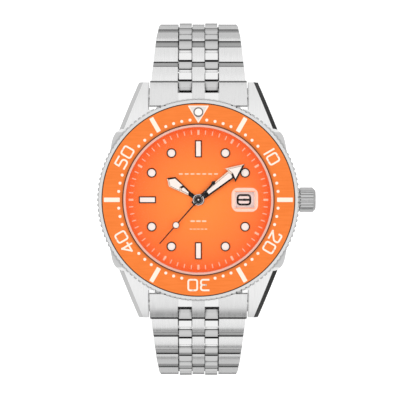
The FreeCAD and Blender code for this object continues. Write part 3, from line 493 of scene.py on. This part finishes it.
def turned(points, degrees):
    """Turn a drawing made at twelve o'clock clockwise to its place."""
    turn = math.radians(degrees)
    return [(x * math.cos(turn) + y * math.sin(turn), -x * math.sin(turn) + y * math.cos(turn))
            for x, y in points]


def circle(x, y, radius, steps=32):
    return [(x + radius * math.cos(2 * math.pi * i / steps), y + radius * math.sin(2 * math.pi * i / steps))
            for i in range(steps)]


def rounded(points, radius, closed=False, steps=6):
    """Replace the corners of a path by curves."""
    result = []
    count = len(points)
    for i, here in enumerate(points):
        corner = Vector(here)
        if not closed and i in (0, count - 1):
            result.append(corner)
            continue
        before = Vector(points[i - 1]) - corner
        after = Vector(points[(i + 1) % count]) - corner
        reach = min(radius / math.tan(before.angle(after) / 2), before.length * 0.49, after.length * 0.49)
        start, end = corner + before.normalized() * reach, corner + after.normalized() * reach
        for k in range(steps + 1):
            share = k / steps
            result.append(start * (1 - share) ** 2 + corner * 2 * share * (1 - share) + end * share ** 2)
    return [(point.x, point.y) for point in result]


def ribbon(path, width):
    """The outline of a stroke of even width along an open path, with square ends."""
    points = [Vector(point) for point in path]
    points[0] += (points[0] - points[1]).normalized() * width / 2
    points[-1] += (points[-1] - points[-2]).normalized() * width / 2
    left, right = [], []
    for i, here in enumerate(points):
        along = (points[min(i + 1, len(points) - 1)] - points[max(i - 1, 0)]).normalized()
        across = Vector((-along.y, along.x)) * width / 2
        left.append(tuple(here + across))
        right.append(tuple(here - across))
    return left + right[::-1]


DIGIT_WIDTH = {"1": 0.0, "3": 0.85, "5": 0.9, "2": 0.9, "7": 0.9}


def digit_strokes(digit, a, b, corner):
    """The strokes of one numeral in a light, wide, rounded style; a and b are half its width and height."""
    ring = [[(0, b), (-a, b), (-a, -b), (0, -b)], [(0, -b), (a, -b), (a, b), (0, b)]]
    paths = {
        "0": ring,
        "1": [[(0, b), (0, -b)]],
        "2": [[(-a, b * 0.45), (-a, b), (a, b), (a, b * 0.1), (-a, -b)], [(-a, -b), (a, -b)]],
        "3": [[(-a, b), (a, b), (a, 0), (-a * 0.3, 0)], [(-a * 0.3, 0), (a, 0), (a, -b), (-a, -b)]],
        "4": [[(a * 0.45, -b), (a * 0.45, b)], [(a * 0.45, b), (-a, -b * 0.4)],
              [(-a, -b * 0.4), (a, -b * 0.4)]],
        "5": [[(a, b), (-a, b)], [(-a, b), (-a, b * 0.12)],
              [(-a, b * 0.12), (a, b * 0.12), (a, -b), (-a, -b)]],
        "6": [[(a, b), (-a, b), (-a, -b), (a, -b), (a, 0), (-a, 0)]],
        "7": [[(-a, b), (a, b)], [(a, b), (-a * 0.3, -b)]],
        "8": ring + [[(-a, 0), (a, 0)]],
        "9": [[(-a, -b), (a, -b), (a, b), (-a, b), (-a, 0), (a, 0)]],
    }
    return [rounded(path, corner) for path in paths[digit]]


def numeral(text, wide, tall, gap, stroke, corner):
    """All stroke outlines of a number, centred on the origin."""
    widths = [(wide - stroke) * DIGIT_WIDTH.get(digit, 1.0) + stroke for digit in text]
    left = -(sum(widths) + gap * (len(text) - 1)) / 2
    outlines = []
    for digit, width in zip(text, widths):
        paths = digit_strokes(digit, (width - stroke) / 2, (tall - stroke) / 2, corner)
        outlines += moved([ribbon(path, stroke) for path in paths], left + width / 2, 0)
        left += width + gap
    return outlines


def moved(outlines, x, y):
    return [[(px + x, py + y) for px, py in outline] for outline in outlines]


def new_object(name, mesh, material):
    """Turn a finished drawing into an object with one material."""
    data = bpy.data.meshes.new(name)
    mesh.to_mesh(data)
    mesh.free()
    data.materials.append(material)
    made = bpy.data.objects.new(name, data)
    bpy.context.collection.objects.link(made)
    return made


def add_piece(name, mesh, material, body):
    """Add a piece that rides on a body."""
    piece = new_object(name, mesh, material)
    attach(piece, body)


def marks(name, outlines, level, thick, material, body, slot, finer=None):
    """Thin raised plates of any outline, lying on a level or on a surface given by a function of x and y."""
    mesh = bmesh.new()
    height = level if callable(level) else (lambda x, y: level)
    for outline in outlines:
        if finer:
            outline = divided(outline, finer)
        upper = [mesh.verts.new((x * MM, y * MM, (height(x, y) + thick) * MM)) for x, y in outline]
        lower = [mesh.verts.new((x * MM, y * MM, height(x, y) * MM)) for x, y in outline]
        mesh.faces.new(upper)
        mesh.faces.new(lower[::-1])
        for i in range(len(outline)):
            j = (i + 1) % len(outline)
            mesh.faces.new((upper[i], lower[i], lower[j], upper[j]))
    bmesh.ops.recalc_face_normals(mesh, faces=mesh.faces)
    bmesh.ops.triangulate(mesh, faces=[face for face in mesh.faces if len(face.verts) > 4])
    add_piece(name, mesh, material, body)


def divided(outline, longest):
    """Add points along the sides so that an outline can follow a curved surface."""
    result = []
    for i, start in enumerate(outline):
        a, b = Vector(start), Vector(outline[(i + 1) % len(outline)])
        pieces = max(1, math.ceil((b - a).length / longest))
        result += [tuple(a.lerp(b, k / pieces)) for k in range(pieces)]
    return result


def rounded_box(half_width, low, high, corner):
    corners = [(-half_width, low), (half_width, low), (half_width, high), (-half_width, high)]
    return rounded(corners, corner, True, 4)


# ---------------------------------------------------------------- turning bezel's scale
def insert_surface(x, y):
    """Height of the sloping insert at a point."""
    return INSERT_TOP - (math.hypot(x, y) - INSERT_INNER) * INSERT_SLOPE + 0.01


def make_bezel_scale():
    outlines = []
    for minute in (5, 15, 25, 35, 45, 55):
        outlines.append(turned(rounded_box(0.44, 15.7, 18.9, 0.12), minute * 6))
    for ten in (1, 2, 3, 4, 5):
        digits = numeral(f"{ten}0", 2.13, 2.48, 0.4, 0.35, 0.6)
        outlines += [turned(outline, ten * 60) for outline in moved(digits, 0, NUMERAL_AT)]
    marks("bezel_numerals", outlines, insert_surface, 0.03, BEZEL_WHITE, "bezel", "orange_insert", 0.6)
    dots = []
    for minute in range(1, 60):
        beside_numeral = minute % 10 in (1, 9) and 5 < minute < 55
        if minute % 5 == 0 or beside_numeral:
            continue
        dots.append(circle(*clock(16.0, minute * 6), 0.3, 16))
    marks("bezel_minute_dots", dots, insert_surface, 0.03, BEZEL_WHITE, "bezel", "orange_insert")
    triangle = rounded([(-2.15, 18.85), (2.15, 18.85), (0, 15.3)], 0.15, True, 3)
    marks("bezel_triangle", [triangle], insert_surface, 0.03, BEZEL_WHITE, "bezel", "orange_insert", 0.4)
    inner = [(-1.75, 18.65), (1.75, 18.65), (0, 15.75)]
    marks("bezel_triangle_face", [inner], insert_surface, 0.04, BEZEL_SILVER, "bezel", "orange_insert", 0.4)
    ring_thick = 0.06
    marks("pearl_ring", [circle(0, PEARL_AT, 1.0)], insert_surface, ring_thick, RING_GREY, "bezel",
          "orange_insert")
    dome("bezel_pearl", 0, PEARL_AT, insert_surface(0, PEARL_AT) + ring_thick, 0.76, 0.22, LUME_WHITE, "bezel")


def dome(name, x, y, level, radius, rise, material, body, rings=6, steps=32):
    """A shallow glossy drop."""
    mesh = bmesh.new()
    top = mesh.verts.new((x * MM, y * MM, (level + rise) * MM))
    rows = []
    for ring in range(1, rings + 1):
        lean = ring / rings * math.pi / 2
        out, up = radius * math.sin(lean), rise * math.cos(lean)
        rows.append([mesh.verts.new(((x + px) * MM, (y + py) * MM, (level + up) * MM))
                     for px, py in circle(0, 0, out, steps)])
    for i in range(steps):
        mesh.faces.new((top, rows[0][i], rows[0][(i + 1) % steps]))
        for inner, outer in zip(rows[:-1], rows[1:]):
            mesh.faces.new((inner[i], outer[i], outer[(i + 1) % steps], inner[(i + 1) % steps]))
    mesh.faces.new(rows[-1][::-1])
    bmesh.ops.recalc_face_normals(mesh, faces=mesh.faces)
    for face in mesh.faces:
        face.smooth = len(face.verts) <= 4
    add_piece(name, mesh, material, body)


# ---------------------------------------------------------------- dial furniture
def make_dial_marks():
    ticks = []
    for minute in range(60):
        half, inner = (0.21, 13.1) if minute % 5 == 0 else (0.09, 13.2)
        ticks.append(turned([(-half, inner), (half, inner), (half, 14.05), (-half, 14.05)], minute * 6))
    marks("dial_minute_track", ticks, DIAL_TOP + 0.002, 0.02, PRINT_WHITE, "case", "orange_dial")
    dashes = []
    for i in range(7):
        dashes += moved([rounded_box(0.4, -0.13, 0.13, 0.1)], (i - 3) * 1.18, 5.2)
    for i in range(3):
        dashes += moved([rounded_box(0.45, -0.16, 0.16, 0.12)], (i - 1) * 1.15, -4.3)
    for i in range(5):
        dashes += moved([rounded_box(0.26, -0.09, 0.09, 0.07)], (i - 2) * 0.76, -5.9)
    marks("dial_dashes", dashes, DIAL_TOP + 0.002, 0.02, PRINT_WHITE, "case", "orange_dial")


def make_marker_lume():
    for hour in (1, 2, 4, 5, 7, 8, 10, 11):
        x, y = clock(MARKER_RADIUS, hour * 30)
        dome(f"lume_{hour}", x, y, MARKER_TOP - 0.1, 0.78, 0.14, LUME_WHITE, "case")
    for hour in (6, 9, 12):
        bar = turned(rounded_box(0.465, 8.76, 11.76, 0.08), hour * 30)
        marks(f"lume_{hour}", [bar], MARKER_TOP - 0.15, 0.17, LUME_WHITE, "case", "marker_frames")


def mirrored(corners):
    """Both halves of an outline given from the middle line out to +x and back."""
    return [corner for corner in corners if corner[0]] + [(-x, y) for x, y in corners[::-1]]


def inset(outline, distance):
    """Move every side of an outline inward."""
    points = [Vector(point) for point in outline]
    area = sum(a.x * b.y - b.x * a.y for a, b in zip(points, points[1:] + points[:1]))
    turn = 1 if area > 0 else -1
    result = []
    for i, here in enumerate(points):
        back = (here - points[i - 1]).normalized()
        ahead = (points[(i + 1) % len(points)] - here).normalized()
        normal_back, normal_ahead = Vector((-back.y, back.x)) * turn, Vector((-ahead.y, ahead.x)) * turn
        middle = (normal_back + normal_ahead).normalized()
        result.append(tuple(here + middle * distance / max(middle.dot(normal_back), 0.2)))
    return result


HOUR_OPENINGS = ([(0.2, 2.4), (0.42, 3.85), (0, 4.15)], [(0, 4.5), (0.62, 4.15), (0.93, 6.3), (0, 7.25)])
MINUTE_OPENINGS = ([(0.42, 2.3), (0.62, 8.15), (0, 8.4)], [(0, 8.7), (1.3, 8.4), (0, 11.2)])


def make_hand_lume():
    """Lume in the openings of the hands, each with a thin dark line around it."""
    for name, body, degrees, openings in (("hour", "hours", HOUR_ANGLE, HOUR_OPENINGS),
                                          ("minute", "minutes", MINUTE_ANGLE, MINUTE_OPENINGS)):
        top = top_of(f"{name}_hand")
        fills = [mirrored(opening) for opening in openings]
        marks(f"{name}_lume_backing", [turned(fill, degrees) for fill in fills], top - 0.14, 0.1,
              INK_BLACK, body, "hand_metal")
        marks(f"{name}_lume", [turned(inset(fill, 0.06), degrees) for fill in fills], top - 0.04, 0.05,
              LUME_WHITE, body, "hand_metal")
    second_top = top_of("second_hand")
    x, y = clock(SECOND_LUME_AT, SECOND_ANGLE)
    dome("second_lume", x, y, second_top - 0.1, 0.66, 0.2, LUME_WHITE, "seconds")
    dome("hub_ring", 0, 0, second_top, 0.84, 0.1, HUB_RING, "seconds")
    dome("hub_cap", 0, 0, second_top + 0.06, 0.74, 0.12, BLACK_POLISH, "seconds")
    dome("hub_pin", 0, 0, second_top + 0.16, 0.2, 0.08, SILVER_RING, "seconds")


def make_dates():
    """All thirty-one numbers around the date ring, each upright when it stands at three o'clock."""
    outlines = []
    for day in range(1, 32):
        text = str(day)
        wide = 1.87 if len(text) == 1 else 1.1
        drawing = moved(numeral(text, wide, 1.46, 0.2, 0.25, 0.7), DATE_CENTRE, 0)
        turn = (day - 8) * 360 / 31
        outlines += [turned(outline, turn) for outline in drawing]
    marks("date_numbers", outlines, DATE_TOP + 0.002, 0.02, INK_BLACK, "date", "date_white")


# ---------------------------------------------------------------- studio
def make_floor():
    """A sheet that is white to the eye and grey to everything that mirrors it."""
    mesh = bmesh.new()
    low = cad_box[0].z - 0.2 * MM
    size, steps = 0.6, 24
    grid = [[mesh.verts.new(((i / steps - 0.5) * 2 * size, (j / steps - 0.5) * 2 * size, low))
             for j in range(steps + 1)] for i in range(steps + 1)]
    for i in range(steps):
        for j in range(steps):
            mesh.faces.new((grid[i][j], grid[i + 1][j], grid[i + 1][j + 1], grid[i][j + 1]))
    shader = new_material("floor_white")
    x, y, z = shader.position()
    tone = shader.mix(shader.noise(x, y, z, 0.02, 2.0), grey(0.93), grey(0.96))
    white = shader.principled(tone, 0.0, 0.9, None, Emission_Color=grey(1.0), Emission_Strength=0.35)
    shade = shader.node("ShaderNodeBsdfDiffuse")
    shade.inputs["Color"].default_value = grey(0.5)
    surface = shader.combine(shader.light_path("Is Camera Ray"), shade.outputs[0], white)
    new_object("floor", mesh, shader.finish(surface))


def make_world():
    """A dome that is white to the eye and overhead, and dark near the horizon on the six o'clock side."""
    world = bpy.data.worlds.new("studio")
    bpy.context.scene.world = world
    shader = Shader(world, "ShaderNodeOutputWorld")
    split = shader.node("ShaderNodeSeparateXYZ")
    shader.put(split.inputs[0], shader.node("ShaderNodeTexCoord").outputs["Generated"])
    x, y, z = split.outputs
    ramp = shader.node("ShaderNodeValToRGB")
    stops = ((0.0, 0.18), (0.08, 0.48), (0.2, 0.9), (0.64, 0.97), (1.0, 1.0))
    while len(ramp.color_ramp.elements) < len(stops):
        ramp.color_ramp.elements.new(0.5)
    for element, (place, level) in zip(ramp.color_ramp.elements, stops):
        element.position = place
        element.color = grey(level)
    shader.put(ramp.inputs[0], z)
    sideways = shader.math("MAXIMUM", shader.math("ABSOLUTE", x), y)
    beyond = shader.ramp(sideways, 0.6, 4.0)
    background = shader.node("ShaderNodeBackground")
    shader.put(background.inputs["Color"], shader.mix(beyond, ramp.outputs[0], grey(0.9)))
    backdrop = shader.node("ShaderNodeBackground")
    backdrop.inputs["Color"].default_value = grey(1.0)
    seen = shader.light_path("Is Camera Ray")
    shader.finish(shader.combine(seen, background.outputs[0], backdrop.outputs[0]))


def add_softbox(name, place, size, power):
    light = bpy.data.lights.new(name, "AREA")
    light.shape = "RECTANGLE"
    light.size, light.size_y = size
    light.energy = power
    lamp = bpy.data.objects.new(name, light)
    lamp.location = place
    lamp.rotation_euler = (Vector((0, 0, 0)) - Vector(place)).to_track_quat("-Z", "Y").to_euler()
    lamp.visible_glossy = False
    bpy.context.collection.objects.link(lamp)


def make_camera():
    """Straight above the dial, with a long lens."""
    data = bpy.data.cameras.new("camera")
    data.sensor_width = 36.0
    data.lens = 180.0
    data.clip_start = 0.01
    data.clip_end = 10.0
    camera = bpy.data.objects.new("camera", data)
    camera.location = (0.32 * MM, -0.04 * MM, 410 * MM)
    bpy.context.collection.objects.link(camera)
    bpy.context.scene.camera = camera


def make_studio():
    make_floor()
    make_world()
    add_softbox("overhead", (0.0, 0.0, 0.7), (0.9, 0.9), 2.6)
    make_camera()
    bpy.context.scene.view_settings.view_transform = "Standard"


dress_cad()
make_bezel_scale()
make_dial_marks()
make_marker_lume()
make_hand_lume()
make_dates()
make_studio()
